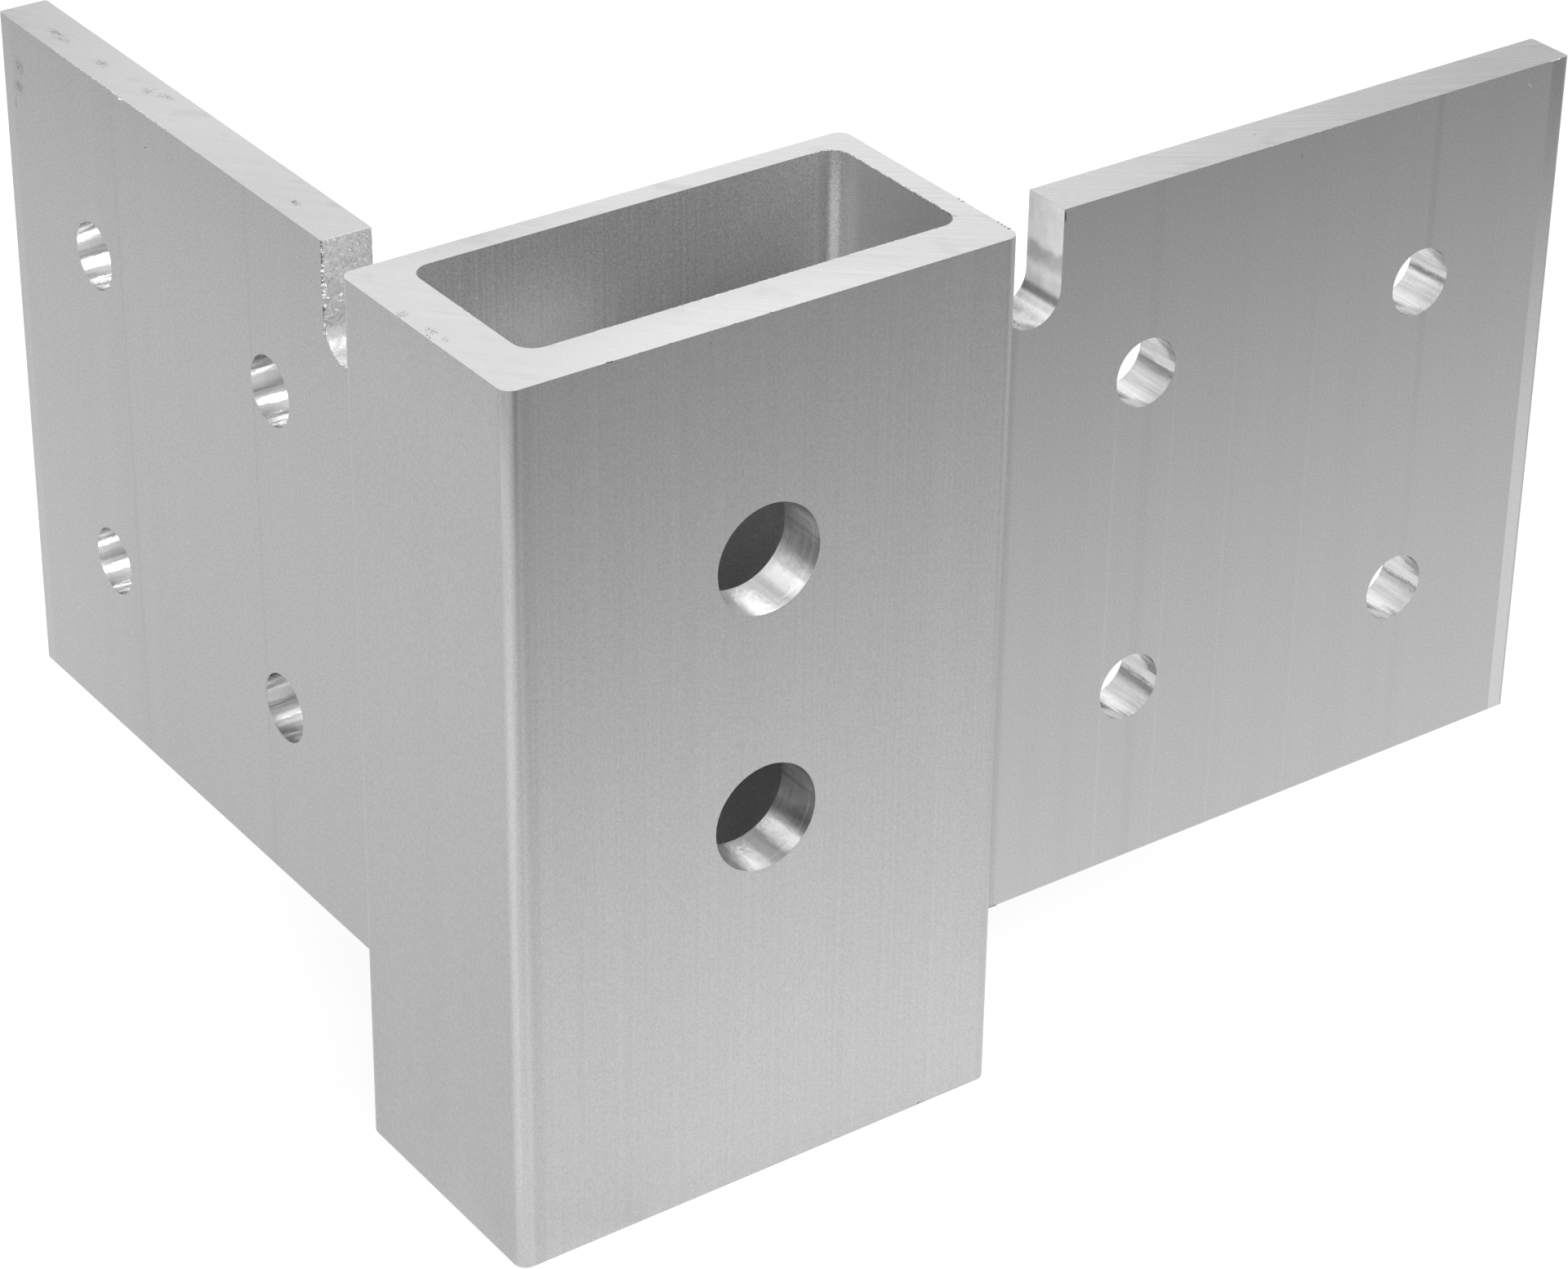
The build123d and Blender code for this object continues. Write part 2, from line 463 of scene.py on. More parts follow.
def sawn_finish(nodes, surface):
    """Sawn ends: arcs left by the blade, clearer in some places, smudges, and parts paler with painted light
    or duller with painted shade.
    """
    place, marks, wide_lines, grain = surface.place, surface.marks, surface.wide_lines, surface.grain
    top = pocket_height
    arc_strength = nodes.total(
        nodes.ramp(wide_lines, -0.1, 0.15, 0.06, 0.17), nodes.ramp(surface.x, -30.0, 40.0, 0.0, 0.13)
    )
    smudge = nodes.ramp(nodes.total(wide_lines, nodes.product(grain, 0.4)), 0.14, 0.24, 0.0, -0.05)
    on_pocket = nodes.inside_box(
        place,
        (outer_left - 1.0, outer_front - 1.0, top - 1.0),
        (outer_right + 0.1, outer_back + 0.1, top + 1.0),
    )
    # Painted light on the front of the pocket's top and the far part of the back flange's top, and painted
    # shade on the back of the pocket's top
    paler = nodes.total(
        nodes.spot(place, (-10.0, outer_front, top), (50.0, 14.0, 3.0)), nodes.ramp(surface.y, 50.0, 95.0)
    )
    duller = nodes.spot(place, (-25.0, outer_back, top), (26.0, 8.0, 3.0))
    grey = nodes.total(
        nodes.mix(on_pocket, 0.64, 0.70),
        nodes.product(marks, arc_strength),
        nodes.product(grain, 0.12),
        smudge,
        nodes.product(paler, 0.06),
        nodes.product(duller, -0.06),
    )
    return grey, nodes.total(0.40, nodes.product(marks, 0.1))


def scuffs(nodes, surface):
    """Scuffs on the tops and on the back flange's far corner, as what they add to the grey."""
    top, depth = pocket_height, 2.0
    # Middle along X and Y, and reach along them
    on_tops = (
        (-45.0, 133.0, 1.3, 6.0),
        (-44.6, 118.0, 1.6, 3.0),
        (-43.6, 103.0, 1.2, 2.6),
        (-42.0, 99.0, 1.0, 2.6),
        (-45.0, 49.5, 1.2, 2.0),
        (-51.4, 4.6, 1.2, 1.8),
        (-50.8, -3.0, 1.3, 2.4),
        (-50.5, -7.0, 0.9, 1.4),
    )
    spots = [((x, y, top), (reach_x, reach_y, depth)) for x, y, reach_x, reach_y in on_tops]
    spots.append(((back_flange_x, 142.3, 160.6), (1.0, 2.4, 2.2)))
    spots.append(((back_flange_x, 142.8, 156.4), (1.0, 2.6, 1.8)))
    scuffed = nodes.total(*(nodes.spot(surface.place, middle, reach) for middle, reach in spots))
    fine = nodes.noise(nodes.vector("MULTIPLY", surface.place, (1.0, 0.6, 1.0)), scale=2.6, detail=1.0)
    return nodes.product(scuffed, nodes.ramp(fine, -0.02, 0.10, 0.10, 1.0), -0.30)


def bore_finish(nodes, surface):
    """Bored holes: bright cut metal with rings and streaks, and bands of light at angles round the
    bore, in degrees."""
    y, z, turn, masks = surface.y, surface.z, surface.turn, surface.masks
    side_grey = nodes.total(0.68, nodes.bands(turn, (-34.0, -26.0, -8.0, 0.0, 0.20)))

    # The back flange's near lower hole mirrors more light, and its upper holes have two dark lines
    near_low_hole = nodes.product(
        nodes.math("LESS_THAN", y, back_flange_middle_y), nodes.math("LESS_THAN", z, flange_middle_z)
    )
    near_low_grey = nodes.total(
        nodes.bands(turn, (-64.0, -55.0, -44.0, -38.0, 0.28), (-2.0, 3.0, 28.0, 40.0, 0.20)),
        nodes.ramp(turn, 40.0, 52.0, 0.0, -0.34),
    )
    upper_holes = nodes.math("GREATER_THAN", z, flange_middle_z)
    upper_grey = nodes.bands(turn, (-82.0, -79.0, -73.0, -67.0, -0.22), (-34.0, -30.0, -26.0, -20.0, -0.25))
    back_grey = nodes.total(
        nodes.ramp(turn, 12.0, 28.0, 0.84, 0.50),
        nodes.ramp(turn, 38.0, 50.0, 0.0, 0.40),
        nodes.ramp(turn, -94.0, -102.0, 0.0, 0.14),
        nodes.bands(turn, (-98.0, -90.0, -74.0, -70.0, -0.24), (-20.0, -14.0, -4.0, 2.0, -0.08)),
        nodes.product(near_low_hole, near_low_grey),
        nodes.product(upper_holes, upper_grey),
    )

    # The lower of the two large holes turns dark earlier, and its bottom is duller
    large_low_hole = nodes.math("LESS_THAN", z, pocket_hole_middle_z)
    earlier = nodes.product(large_low_hole, 16.0)
    front_grey = nodes.total(
        nodes.ramp(nodes.total(turn, earlier), -30.0, -18.0, 0.84, 0.40),
        nodes.product(large_low_hole, nodes.bands(turn, (-112.0, -102.0, -66.0, -50.0, -0.24))),
        nodes.bands(turn, (-6.0, 0.0, 4.0, 9.0, -0.12)),
        nodes.ramp(turn, 12.0, 20.0, 0.0, 0.22),
        nodes.product(surface.front_bottom, 0.16),
        nodes.bands(nodes.math("SUBTRACT", y, outer_front), (1.4, 1.6, 1.8, 2.1, 0.10)),
    )

    grey = nodes.mix(masks["back_bores"], side_grey, back_grey)
    grey = nodes.mix(masks["front_bores"], grey, front_grey)
    ring_strength = nodes.mix(masks["front_bores"], 0.14, 0.28)
    streak_strength = nodes.mix(masks["front_bores"], 0.30, 0.12)
    grey = nodes.total(
        grey,
        nodes.product(surface.marks, ring_strength),
        nodes.product(surface.wide_lines, streak_strength),
    )

    # The back flange's bores are rougher to either side of their bands of light
    beyond_bands = nodes.total(nodes.ramp(turn, -96.0, -104.0), nodes.ramp(turn, 38.0, 48.0))
    roughness = nodes.total(0.13, nodes.product(beyond_bands, masks["back_bores"], 0.22))
    return grey, roughness


def slot_finish(nodes, surface):
    """Milled slots: bright cut metal, darker where it faces up, with bands across the side slot."""
    upward, masks, wide_lines = surface.facing_up, surface.masks, surface.wide_lines
    wavy_height = nodes.total(surface.z, nodes.product(wide_lines, 3.0))
    step_limits = (slot_bottom + 7.0, slot_bottom + 9.4, slot_bottom + 10.6, slot_bottom + 12.6)
    side_grey = nodes.total(
        nodes.ramp(surface.y, side_flange_y, side_flange_inner_y, 0.10, -0.13),
        nodes.bands(wavy_height, (*step_limits, -0.30)),
        # Bands of painted shade across the side slot's round bottom, by how far it faces up
        nodes.bands(
            upward,
            (0.02, 0.14, 0.20, 0.27, -0.08),
            (0.44, 0.50, 0.53, 0.60, -0.27),
            (0.63, 0.68, 0.74, 0.79, -0.17),
        ),
    )
    grey = nodes.total(
        # Painted shade: darker where the round bottom faces up, with a darker band across the back slot's
        nodes.ramp(upward, 0.80, 0.97, 0.86, 0.50),
        nodes.product(nodes.band(upward, 0.78, 0.84, 0.88, 0.94), masks["back_slot"], -0.14),
        nodes.product(surface.marks, 0.15),
        nodes.product(wide_lines, nodes.mix(masks["side_slot"], 0.35, 0.25)),
        nodes.product(surface.grain, 0.18),
        nodes.product(side_grey, masks["side_slot"]),
    )
    return grey, 0.2


def mark_direction(nodes, surface):
    """Which way the marks run on each finish."""
    along_x, along_y, upright = (1.0, 0.0, 0.0), (0.0, 1.0, 0.0), (0.0, 0.0, 1.0)
    masks = surface.masks
    along_arc = nodes.vector("NORMALIZE", nodes.vector("CROSS_PRODUCT", surface.from_blade, upright))
    run = nodes.mix_vector(masks["sawn"], upright, along_arc)
    bore_axis = nodes.mix_vector(masks["back_bores"], along_y, along_x)
    round_bore = nodes.vector("CROSS_PRODUCT", surface.normal, bore_axis)
    run = nodes.mix_vector(surface.bores, run, round_bore)
    run = nodes.mix_vector(masks["back_slot"], run, along_x)
    return nodes.mix_vector(masks["side_slot"], run, along_y)


def grooved_normal(nodes, surface, run, across):
    """Grooves too fine to see one by one lean a cut face to and fro across the marks, and give its
    bands of light ragged edges."""
    turn, masks = surface.turn, surface.masks
    flecks_per_mm = 40.0
    flecks = nodes.add("ShaderNodeTexWhiteNoise", noise_dimensions="3D")
    nodes.put(nodes.vector("FLOOR", nodes.scaled(surface.place, flecks_per_mm)), flecks.inputs["Vector"])
    lean, roll = (nodes.math("SUBTRACT", part, 0.5) for part in nodes.parts(flecks.outputs["Color"])[:2])

    front_steepness = nodes.total(1.5, nodes.product(surface.front_bottom, 0.5))
    steepness = nodes.mix(surface.bores, 0.0, nodes.mix(masks["front_bores"], 0.35, front_steepness))
    steepness = nodes.mix(masks["back_slot"], steepness, 0.4)
    steepness = nodes.mix(masks["side_slot"], steepness, 0.1)

    ragged = nodes.total(
        nodes.product(surface.grain, 0.12),
        nodes.product(surface.wide_lines, 0.20),
        nodes.product(surface.marks, masks["side_bores"], 0.12),
    )
    cut = nodes.total(surface.bores, surface.slots)
    ragged = nodes.product(ragged, cut, nodes.mix(masks["front_bores"], 1.0, 0.4))
    front_softness = nodes.total(
        0.06,
        nodes.ramp(turn, -68.0, -80.0, 0.0, 0.30),
        nodes.bands(turn, (-48.0, -40.0, -30.0, -22.0, 0.35)),
    )
    softness = nodes.total(
        nodes.product(masks["back_bores"], nodes.bands(turn, (-74.0, -66.0, -58.0, -48.0, 0.18))),
        nodes.product(masks["front_bores"], front_softness),
    )
    along = nodes.total(ragged, nodes.product(roll, softness))

    leaning = nodes.vector("ADD", surface.normal, nodes.scaled(across, nodes.product(lean, steepness)))
    leaning = nodes.vector("ADD", leaning, nodes.scaled(run, along))
    return nodes.vector("NORMALIZE", leaning)


# Materials

def new_material(name):
    """A material with an empty node tree, and the helper that fills it."""
    material = bpy.data.materials.new(name)
    material.use_nodes = True
    return material, Nodes(material.node_tree)


def add_metal(nodes, grey, roughness, normal, tangent=None):
    """Bare metal of one grey, whose gloss spreads across the marks when a tangent is given."""
    shader = nodes.add("ShaderNodeBsdfPrincipled")
    nodes.put(nodes.join(grey, grey, grey), shader.inputs["Base Color"])
    shader.inputs["Metallic"].default_value = 1.0
    nodes.put(roughness, shader.inputs["Roughness"])
    nodes.put(normal, shader.inputs["Normal"])
    if tangent is not None:
        shader.inputs["Anisotropic"].default_value = 0.35
        nodes.put(tangent, shader.inputs["Tangent"])
    output = nodes.add("ShaderNodeOutputMaterial")
    nodes.put(shader.outputs[0], output.inputs["Surface"])


def bracket_metal():
    """Mill-finish aluminium, with a finish of its own for each way that the bracket was cut."""
    material, nodes = new_material("mill_aluminium_finish")
    surface = Surface(nodes)
    grey, roughness = extruded_finish(nodes, surface)
    cut_finishes = (
        (surface.masks["pocket"], pocket_finish),
        (surface.masks["sawn"], sawn_finish),
        (surface.bores, bore_finish),
        (surface.slots, slot_finish),
    )
    for mask, finish in cut_finishes:
        cut_grey, cut_roughness = finish(nodes, surface)
        grey = nodes.mix(mask, grey, cut_grey)
        roughness = nodes.mix(mask, roughness, cut_roughness)
    grey = nodes.total(grey, scuffs(nodes, surface))

    run = mark_direction(nodes, surface)
    across = nodes.vector("NORMALIZE", nodes.vector("CROSS_PRODUCT", surface.normal, run))
    bump = nodes.add("ShaderNodeBump")
    bump.inputs["Strength"].default_value = 0.10
    bump.inputs["Distance"].default_value = 0.02 * mm
    nodes.put(surface.marks, bump.inputs["Height"])
    nodes.put(grooved_normal(nodes, surface, run, across), bump.inputs["Normal"])
    add_metal(nodes, grey, roughness, bump.outputs[0], across)
    return material


def torn_metal(name, tone, roughness):
    """Bare torn metal, mottled from grain to grain."""
    material, nodes = new_material(name)
    coordinates = nodes.add("ShaderNodeTexCoord")
    place = nodes.scaled(coordinates.outputs["Object"], 1 / mm)
    mottle = nodes.noise(place, scale=3.0, detail=1.0)
    grey = nodes.total(tone, nodes.product(mottle, 0.25))
    add_metal(nodes, grey, roughness, coordinates.outputs["Normal"])
    return material


def torn_skin_finish():
    """Mottled grey with slanting dark streaks, as a blunt cutter leaves it, and white flecks that are
    painted glints.
    """
    material, nodes = new_material("torn_skin_finish")
    coordinates = nodes.add("ShaderNodeTexCoord")
    place = nodes.scaled(coordinates.outputs["Object"], 1 / mm)
    x, _, z = nodes.parts(place)
    mottle = nodes.noise(place, scale=1.3, detail=3.0, roughness=0.6)
    slant = nodes.join(nodes.math("SUBTRACT", x, nodes.product(z, 0.8)), nodes.product(z, 0.25), 0.0)
    streaks = nodes.noise(slant, scale=1.6, detail=1.0)
    # White flecks, more of them in some patches: painted glints
    flecks = nodes.ramp(nodes.noise(place, scale=3.4, detail=1.0), 0.13, 0.22, 0.0, 0.50)
    fleck_patches = nodes.ramp(nodes.noise(place, scale=0.35, detail=1.0), -0.14, 0.06)
    grey = nodes.total(
        0.82,
        nodes.product(mottle, 0.60),
        nodes.ramp(streaks, -0.10, -0.25, 0.0, -0.24),
        nodes.product(flecks, fleck_patches),
    )
    add_metal(nodes, grey, 0.42, coordinates.outputs["Normal"])
    return material


def floor_finish():
    """Pale floor: white to the camera but for the bracket's shadow. Where the metal mirrors it, it
    is dimmer towards the front and the far left, and a little behind and beside the bracket."""
    material, nodes = new_material("floor_finish")
    place = nodes.scaled(nodes.add("ShaderNodeTexCoord").outputs["Object"], 1 / mm)
    x, y, _ = nodes.parts(place)
    rays = nodes.add("ShaderNodeLightPath")
    seen = nodes.math("MAXIMUM", rays.outputs["Is Camera Ray"], rays.outputs["Is Transmission Ray"])
    mirrored = rays.outputs["Is Glossy Ray"]

    on_left = nodes.ramp(x, -80.0, -200.0)
    front_fall = nodes.mix(on_left, nodes.ramp(y, -530.0, -20.0), nodes.ramp(y, -800.0, -60.0))
    # Painted shadows in what the metal mirrors: behind the bracket and in front of the side flange
    behind = nodes.product(
        nodes.ramp(y, -60.0, 20.0), nodes.ramp(x, -300.0, -26.0), nodes.ramp(x, 80.0, 0.0), 0.21
    )
    beside = nodes.product(
        nodes.ramp(y, -190.0, -70.0), nodes.ramp(y, 0.0, -30.0), nodes.ramp(x, 50.0, 110.0), 0.07
    )
    pool = nodes.product(
        front_fall,
        nodes.math("SUBTRACT", 1.0, behind),
        nodes.math("SUBTRACT", 1.0, beside),
        nodes.ramp(x, -410.0, -320.0),
    )
    emission = nodes.add("ShaderNodeEmission")
    emission.inputs["Color"].default_value = (1.0, 1.0, 1.0, 1.0)
    nodes.put(nodes.total(seen, nodes.product(mirrored, pool)), emission.inputs["Strength"])
    diffuse = nodes.add("ShaderNodeBsdfDiffuse")
    floor_grey = 0.92
    diffuse.inputs["Color"].default_value = (floor_grey, floor_grey, floor_grey, 1.0)
    under_pocket = nodes.inside_box(
        place, (-pocket_half_width, -pocket_half_depth, -1.0), (pocket_half_width, pocket_half_depth, 1.0)
    )
    share = nodes.product(
        nodes.total(nodes.product(seen, 0.8), mirrored), nodes.math("SUBTRACT", 1.0, under_pocket)
    )
    mixed = nodes.add("ShaderNodeMixShader")
    for value, socket in zip((share, diffuse.outputs[0], emission.outputs[0]), mixed.inputs):
        nodes.put(value, socket)
    output = nodes.add("ShaderNodeOutputMaterial")
    nodes.put(mixed.outputs[0], output.inputs["Surface"])
    return material


# Studio

def studio_floor():
    reach = 6000.0 * mm
    mesh = bpy.data.meshes.new("floor")
    corners = [(-reach, -reach, 0), (reach, -reach, 0), (reach, reach, 0), (-reach, reach, 0)]
    mesh.from_pydata(corners, [], [(0, 1, 2, 3)])
    floor = bpy.data.objects.new("floor", mesh)
    bpy.context.scene.collection.objects.link(floor)
    floor.data.materials.append(floor_finish())


def softbox(nodes, angles, spans, strength):
    """Light from the box that spans these angles, in degrees, seen from along X and from along Y."""
    edge = 1.5
    result = strength
    for angle, (low, high) in zip(angles, spans):
        result = nodes.product(
            result, nodes.ramp(angle, low - edge, low + edge), nodes.ramp(angle, high + edge, high - edge)
        )
    return result


def studio_world():
    """Soft light from all round: two softboxes high in front, a white backdrop behind on the left,
    and low down a dim corner behind on the right and another in front on the left."""
    world = bpy.data.worlds.new("studio")
    bpy.context.scene.world = world
    world.use_nodes = True
    nodes = Nodes(world.node_tree)
    x, y, z = nodes.parts(nodes.add("ShaderNodeTexCoord").outputs["Generated"])
    backdrop = nodes.product(
        nodes.ramp(nodes.math("SUBTRACT", y, x), 0.6, 1.2), nodes.ramp(z, 0.64, 0.56), 0.3
    )
    sideways = nodes.math("ABSOLUTE", nodes.total(x, y))
    dim = nodes.product(nodes.ramp(sideways, 0.6, 1.2), nodes.ramp(z, 0.42, 0.30), 0.85)
    sky = nodes.product(nodes.ramp(z, 0.2, 0.75, 0.6, 0.9), nodes.math("SUBTRACT", 1.0, dim))
    angles = [nodes.math("DEGREES", nodes.math("ARCTAN2", z, level)) for level in (y, x)]
    in_front, on_right, on_left = (115, 151), (20, 64), (104, 142)
    light = nodes.total(
        sky,
        backdrop,
        softbox(nodes, angles, (in_front, on_right), strength=8.0),
        softbox(nodes, angles, (in_front, on_left), strength=5.5),
    )
    rays = nodes.add("ShaderNodeLightPath")
    background = nodes.add("ShaderNodeBackground")
    background.inputs["Color"].default_value = (1.0, 1.0, 1.0, 1.0)
    nodes.put(nodes.mix(rays.outputs["Is Camera Ray"], light, 1.0), background.inputs["Strength"])
    output = nodes.add("ShaderNodeOutputWorld")
    nodes.put(background.outputs[0], output.inputs["Surface"])


def studio_lamp(name, place, target, size, energy, spread=180.0):
    """A round softbox that shines from its place towards the target, in metres and degrees."""
    data = bpy.data.lights.new(name, "AREA")
    data.shape = "DISK"
    data.size = size
    data.energy = energy
    data.spread = math.radians(spread)
    lamp = bpy.data.objects.new(name, data)
    lamp.location = place
    aim = Vector(target) - lamp.location
    lamp.rotation_euler = aim.to_track_quat("-Z", "Y").to_euler()
    lamp.visible_camera = False
    bpy.context.scene.collection.objects.link(lamp)


def studio_camera():
    """The photograph's viewpoint, worked out from the bracket's own edges."""
    data = bpy.data.cameras.new("camera")
    data.sensor_width = 36.0
    data.lens = 105.974
    data.shift_x = 0.005393
    data.shift_y = -0.071699
    camera = bpy.data.objects.new("camera", data)
    camera.location = (-0.382446, -0.559345, 0.497063)
    camera.rotation_euler = [math.radians(angle) for angle in (60.73435, -0.67021, -35.24162)]
    bpy.context.scene.collection.objects.link(camera)
    bpy.context.scene.camera = camera


# Torn metal left by the cutters: burrs, nicks, scratches and the back slot's skin

def held_in_box(place):
    """The nearest place that stands out of the bracket's box by no more than a hair."""
    hair = 0.015
    limits = zip(place, cad_low, cad_high)
    return Vector(max(low / mm - hair, min(high / mm + hair, value)) for value, low, high in limits)


class TornMetal:
    """Small closed grains of metal, placed with seeded chance."""

    def __init__(self, seed):
        self.shape = bmesh.new()
        self.chance = random.Random(seed)

    def grain(self, middle, half_sizes, turn):
        """Adds one irregular grain."""
        for corner in bmesh.ops.create_icosphere(self.shape, subdivisions=1, radius=1.0)["verts"]:
            stretch = self.chance.uniform(0.65, 1.15)
            offset = Vector(value * half * stretch for value, half in zip(corner.co, half_sizes))
            offset.rotate(turn)
            corner.co = held_in_box(Vector(middle) + offset) * mm

    def burrs(self, start, end, number, sizes, spread):
        """Adds grains unevenly along the line from start to end."""
        for _ in range(number):
            middle = Vector(start).lerp(Vector(end), self.chance.random())
            middle += Vector(self.chance.uniform(-spread, spread) for _ in range(3))
            half_sizes = [self.chance.uniform(*sizes) for _ in range(3)]
            turn = Euler(self.chance.uniform(0, math.pi) for _ in range(3))
            self.grain(middle, half_sizes, turn)

    def specks(self, place, number, sizes, spread):
        """Adds grains round one place."""
        self.burrs(place, place, number, sizes, spread)

    def scratch(self, start, end, half_width):
        """Adds a thin sliver from start to end."""
        run = Vector(end) - Vector(start)
        middle = Vector(start).lerp(Vector(end), 0.5)
        self.grain(middle, (run.length / 2, half_width, half_width), run.to_track_quat("X", "Z"))

    def curl(self, places, half_width):
        """Adds a bent sliver through the places."""
        for start, end in zip(places, places[1:]):
            self.scratch(start, end, half_width)


def around_slot(degrees):
    """A place on the outer edge of the back slot's round bottom, from its far wall down."""
    angle = math.radians(degrees)
    return (
        back_flange_x,
        back_slot_centre_y + slot_radius * math.cos(angle),
        slot_centre_z - slot_radius * math.sin(angle),
    )


def bright_burrs():
    """Burrs, slivers and flecks that catch the light."""
    torn = TornMetal(seed=11)
    chance = torn.chance
    top = pocket_height
    tiny, small, middling, large = (0.035, 0.08), (0.08, 0.18), (0.13, 0.28), (0.2, 0.4)

    # Inner rim of the pocket: a few clumps on its front side, ragged on its right side
    rim_front = -pocket_half_depth
    for x in (-28.8, -27.8, -15.5, -13.6, -11.5, -6.3, 20.6, 21.4, 23.5, 26.0, 27.7, 29.0, 36.6):
        torn.burrs((x - 0.5, rim_front, top), (x + 0.5, rim_front, top), 6, small, 0.05)
    torn.burrs((-10.0, rim_front, top), (38.0, rim_front, top), 70, small, 0.03)
    rim_right = pocket_half_width
    torn.burrs((rim_right, -14.0, top), (rim_right, 14.0, top), 150, small, 0.05)
    corner_x, corner_y = rim_right - pocket_radius, pocket_half_depth - pocket_radius
    for _ in range(16):
        angle = math.radians(chance.uniform(0, 110))
        place = (corner_x + pocket_radius * math.cos(angle), corner_y + pocket_radius * math.sin(angle), top)
        torn.specks(place, 2, middling, 0.06)
    for y in (1.2, -1.4):
        torn.burrs((-rim_right, y - 0.4, top), (-rim_right, y + 0.4, top), 6, small, 0.06)

    # Outer edges of the tops
    edge = back_flange_x
    torn.burrs((-12.0, outer_front, top), (6.0, outer_front, top), 50, small, 0.03)
    torn.burrs((edge, 86.0, top), (edge, 128.0, top), 60, small, 0.03)
    for y in (96.0, 93.4, 90.3, 86.9, 76.3):
        torn.specks((edge + 0.15, y, top), 3, middling, 0.10)
    torn.burrs((edge, 102.4, top - 0.15), (edge, 103.2, top - 0.15), 10, large, 0.10)
    for x in (104.4, 105.6, 115.2, 117.6, 120.2):
        torn.specks((x, side_flange_y, top), 2, small, 0.08)
    torn.scratch((168.8, side_flange_y, top), (172.0, side_flange_y, top), 0.12)
    torn.burrs((back_flange_inner_x - 1.5, 34.4, top), (back_flange_inner_x, 34.4, top), 12, small, 0.05)

    # Edge of the back slot, down its far wall and round its bottom
    torn.burrs((edge, back_slot_far_y, 168.5), (edge, back_slot_far_y, 150.5), 60, small, 0.10)
    for z in (163.5, 160.9, 159.8, 158.6, 157.2):
        torn.burrs((edge, back_slot_far_y, z), (edge + 0.4, back_slot_far_y, z), 5, middling, 0.15)
    inside = back_slot_far_y - 0.12
    curls = (
        ((-48.3, 160.3), (-48.4, 159.3)),
        ((-49.0, 159.3), (-48.1, 159.1)),
        ((-49.0, 158.7), (-48.5, 158.7), (-47.6, 158.3)),
        ((-45.2, 158.7), (-45.8, 157.9)),
        ((-45.8, 157.0), (-45.5, 157.4), (-44.9, 156.9)),
        ((-47.0, 155.9), (-46.0, 155.8)),
        ((-47.5, 155.3), (-47.2, 155.1)),
        ((-45.4, 160.6), (-45.2, 160.5)),
    )
    for curl in curls:
        torn.curl([(x, inside, z) for x, z in curl], 0.13)
    for _ in range(70):
        torn.specks(around_slot(chance.uniform(0, 85)), 1, small, 0.05)

    # Specks and scratches on the flat faces
    for x, y in ((-42.8, 122.8), (-43.6, 116.3), (-44.9, 110.0), (-48.2, 111.6)):
        torn.specks((x, y, top), 2, small, 0.03)
    for x, z in ((-0.9, 135.4), (17.1, 168.2), (9.5, 166.8), (2.0, 166.7), (25.6, 167.9), (-22.9, 165.6)):
        torn.specks((x, outer_front, z), 2, small, 0.03)
    scratches = (
        ((164.2, side_flange_y, 166.2), (165.4, side_flange_y, 164.8)),
        ((edge, 94.0, 159.5), (edge, 94.7, 158.8)),
        ((edge, 78.0, 158.4), (edge, 78.9, 158.0)),
        ((121.5, side_flange_y, 39.3), (121.7, side_flange_y, 39.4)),
    )
    for start, end in scratches:
        torn.scratch(start, end, 0.05)

    # Bright flecks on the back slot's far wall, more of them in its upper part
    for _ in range(110):
        x = chance.uniform(edge + 0.3, back_flange_inner_x)
        z = chance.triangular(150.0, top, top)
        torn.specks((x, inside, z), 1, tiny, 0.03)
    return new_piece("bright_burrs", torn.shape, torn_metal("bright_burr_finish", tone=0.92, roughness=0.32))


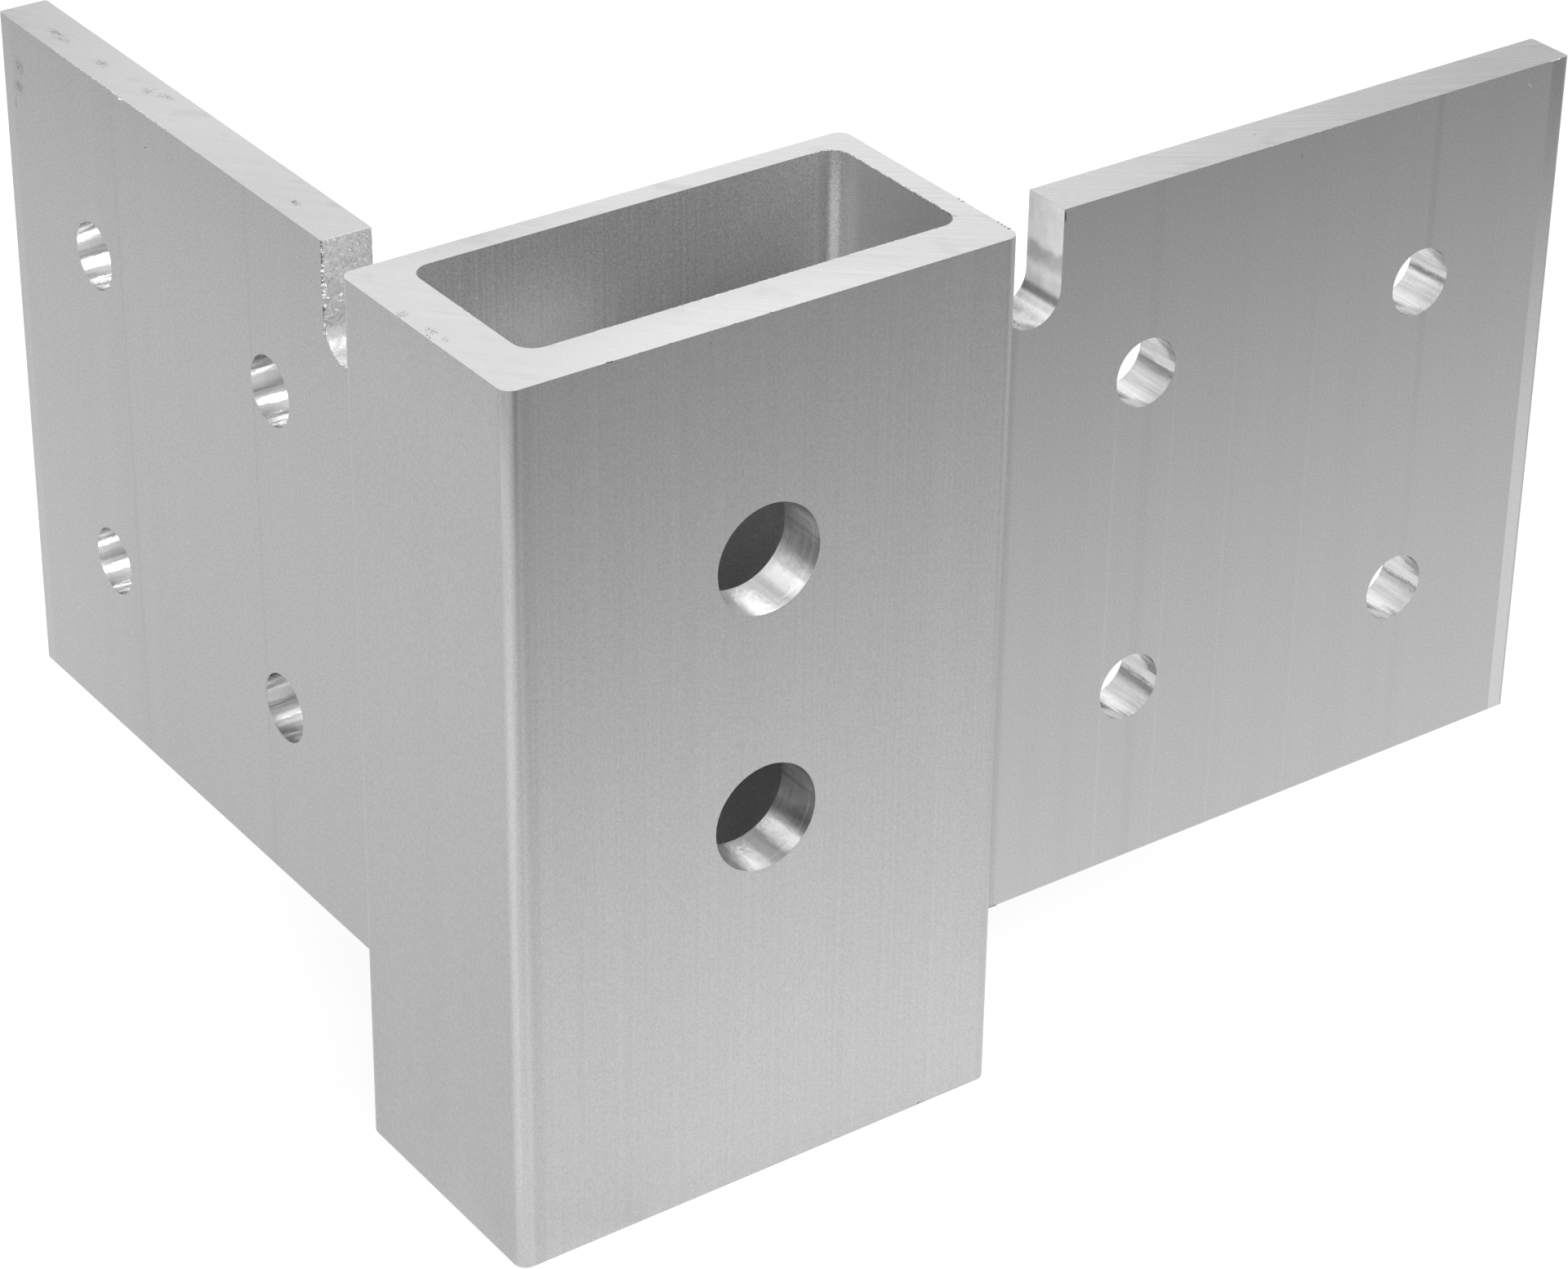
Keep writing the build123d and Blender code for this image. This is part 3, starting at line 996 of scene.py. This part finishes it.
def dark_dirt_and_nick_shade():
    """Nicks, specks and scratches that look dark: dark grains that paint the shade in nicks and gaps, and
    dark dirt and oxide.
    """
    torn = TornMetal(seed=23)
    top = pocket_height
    edge = back_flange_x
    small, middling = (0.07, 0.15), (0.12, 0.25)

    # Edges of the pocket's top
    for x in (-33.7, -27.8, -22.3, -10.0, -3.2):
        torn.burrs((x - 0.5, outer_front, top), (x + 0.5, outer_front, top), 5, small, 0.05)
    torn.burrs((-33.9, outer_front, top), (-32.9, outer_front, top), 6, middling, 0.04)
    for y in (-10.6, -11.8, -21.4, -22.4, -23.4, -24.3):
        torn.burrs((outer_right - 0.3, y, top), (outer_right, y, top), 4, middling, 0.05)
    rim_front, rim_right = -pocket_half_depth, pocket_half_width
    torn.burrs((rim_right + 0.1, -14.0, top), (rim_right + 0.1, 14.0, top), 50, small, 0.04)
    torn.burrs((-30.0, rim_front, top), (38.0, rim_front, top), 40, small, 0.04)
    torn.burrs((rim_right + 0.1, -16.0, top), (rim_right - 0.3, -12.0, top), 14, small, 0.08)
    for y in (4.5, 3.8, -4.4, -5.2):
        torn.burrs((outer_left, y - 0.5, top), (outer_left + 0.6, y + 0.5, top), 4, small, 0.05)

    # Edge of the back slot and its far wall
    torn.burrs((edge, back_slot_far_y, 168.8), (edge, back_slot_far_y, 150.5), 50, small, 0.10)
    for z in (168.8, 166.2, 165.4, 161.7, 156.6):
        torn.burrs((edge, back_slot_far_y, z), (edge + 0.1, back_slot_far_y, z), 5, middling, 0.12)

    # Scratches on the tops
    for x, y in ((-44.0, 103.4), (-42.0, 103.1), (-42.9, 100.2), (-41.7, 97.9)):
        torn.scratch((x - 0.5, y, top), (x + 0.5, y - 0.7, top), 0.05)
    torn.scratch((104.5, -18.4, top), (105.7, -18.3, top), 0.06)
    torn.scratch((122.0, -15.6, top), (122.4, -15.4, top), 0.06)

    # Side flange: scratches and the nick at its foot
    flange, foot = side_flange_y, flange_bottom
    torn.scratch((59.55, flange, 168.9), (59.6, flange, 166.3), 0.15)
    torn.scratch((111.4, flange, 166.0), (111.4, flange, 164.6), 0.05)
    torn.scratch((49.2, flange, foot), (51.5, flange, foot), 0.12)
    torn.burrs((49.3, flange, foot), (50.6, flange, foot), 6, small, 0.04)

    # Front wall, near its foot
    torn.scratch((30.2, outer_front, 0.25), (33.5, outer_front, 0.35), 0.06)
    torn.burrs((31.4, outer_front, 0.3), (32.6, outer_front, 0.4), 5, small, 0.04)
    for x, z in ((37.8, 5.0), (40.4, 38.3)):
        torn.scratch((x - 0.1, outer_front, z), (x + 0.1, outer_front, z + 0.1), 0.035)

    # Single marks on the tops, in the side slot, on the back flange and on the front wall
    for x, y in ((61.5, -20.1), (-35.5, 20.8)):
        torn.scratch((x - 0.2, y, top), (x + 0.2, y + 0.1, top), 0.07)
    for x, y in ((52.7, -20.0), (52.3, -21.4)):
        torn.specks((x, y, slot_bottom + 0.2), 1, small, 0.05)
    torn.specks((edge, 94.6, 162.8), 3, small, 0.05)
    torn.scratch((edge, 144.7, 153.7), (edge, 144.4, 151.3), 0.04)
    torn.scratch((-14.8, outer_front, 167.2), (-14.3, outer_front, 166.7), 0.07)
    return new_piece("dark_dirt_and_nick_shade", torn.shape, torn_metal("dark_dirt_and_nick_shade_finish", tone=0.16, roughness=0.55))


def slot_skin():
    """Torn skin on the far wall of the back slot: a thin closed sheet with a rough outer side."""
    length = slot_straight + slot_radius * math.radians(25)
    steps_down, steps_across = 108, 60
    inner_lift = -0.3

    def place(x, down, lift):
        """A point so far down the wall and so far off it, also where the wall turns round."""
        angle = max(0.0, down - slot_straight) / slot_radius
        reach = slot_radius - lift
        z = pocket_height - down if down < slot_straight else slot_centre_z - reach * math.sin(angle)
        return held_in_box((x, back_slot_centre_y + reach * math.cos(angle), z)) * mm

    def rough_lift(x, down):
        """How far the skin stands off the wall: uneven, streaked aslant, and frayed at its end."""
        spot = Vector((x, down, 0.0))
        slanted = Vector((x + down * 0.8, (down - x) * 0.2, 3.0))
        uneven = 0.05 * noise.noise(spot * 0.9) + 0.045 * noise.noise(spot * 2.3)
        height = 0.07 + uneven + 0.04 * noise.noise(slanted * 2.0)
        fray = 3.0 * abs(noise.noise(Vector((x * 1.5 + down * 1.2, 7.0, 0.0))))
        end = min(1.0, (length - down - fray) / 1.5)
        return max(0.01, height) * end - 0.06 * (1 - end)

    shape = bmesh.new()
    outer, inner = [], []
    xs = [back_flange_x + flange_thickness * column / steps_across for column in range(steps_across + 1)]
    for row in range(steps_down + 1):
        down = length * row / steps_down
        outer.append([shape.verts.new(place(x, down, rough_lift(x, down))) for x in xs])
        inner.append([shape.verts.new(place(x, down, inner_lift)) for x in xs])
    for row in range(steps_down):
        for column in range(steps_across):
            for grid, order in ((outer, 1), (inner, -1)):
                upper, lower = grid[row], grid[row + 1]
                corners = [upper[column], lower[column], lower[column + 1], upper[column + 1]]
                shape.faces.new(corners[::order])
    outer_rim, inner_rim = (
        grid[0][:-1] + [line[-1] for line in grid[:-1]] + grid[-1][:0:-1] + [line[0] for line in grid[:0:-1]]
        for grid in (outer, inner)
    )
    for index in range(len(outer_rim)):
        after = (index + 1) % len(outer_rim)
        shape.faces.new((outer_rim[index], outer_rim[after], inner_rim[after], inner_rim[index]))
    bmesh.ops.recalc_face_normals(shape, faces=shape.faces[:])
    return new_piece("slot_skin", shape, torn_skin_finish())


def new_piece(name, shape, material):
    """Makes the shape a piece that rides with the bracket."""
    mesh = bpy.data.meshes.new(name)
    shape.to_mesh(mesh)
    shape.free()
    mesh.materials.append(material)
    piece = bpy.data.objects.new(name, mesh)
    bpy.context.scene.collection.objects.link(piece)
    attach(piece, "root")
    return piece


bracket.material_slots[0].material = bracket_metal()
bright_burrs()
dark_dirt_and_nick_shade()
slot_skin()
studio_floor()
studio_world()
# One lamp above and behind, which the sawn top mirrors, and one between the flanges, which lights
# the pocket's back wall, so that the back flange's near lower hole mirrors it
studio_lamp("softbox", place=(0.30, 0.45, 0.446), target=(0.02, 0.0, 0.169), size=0.4, energy=0.22)
studio_lamp(
    "fill", place=(0.028, 0.040, 0.161), target=(0.0, 0.0224, 0.132), size=0.012, energy=0.0015, spread=70.0
)
studio_camera()
bpy.context.scene.view_settings.view_transform = "Standard"
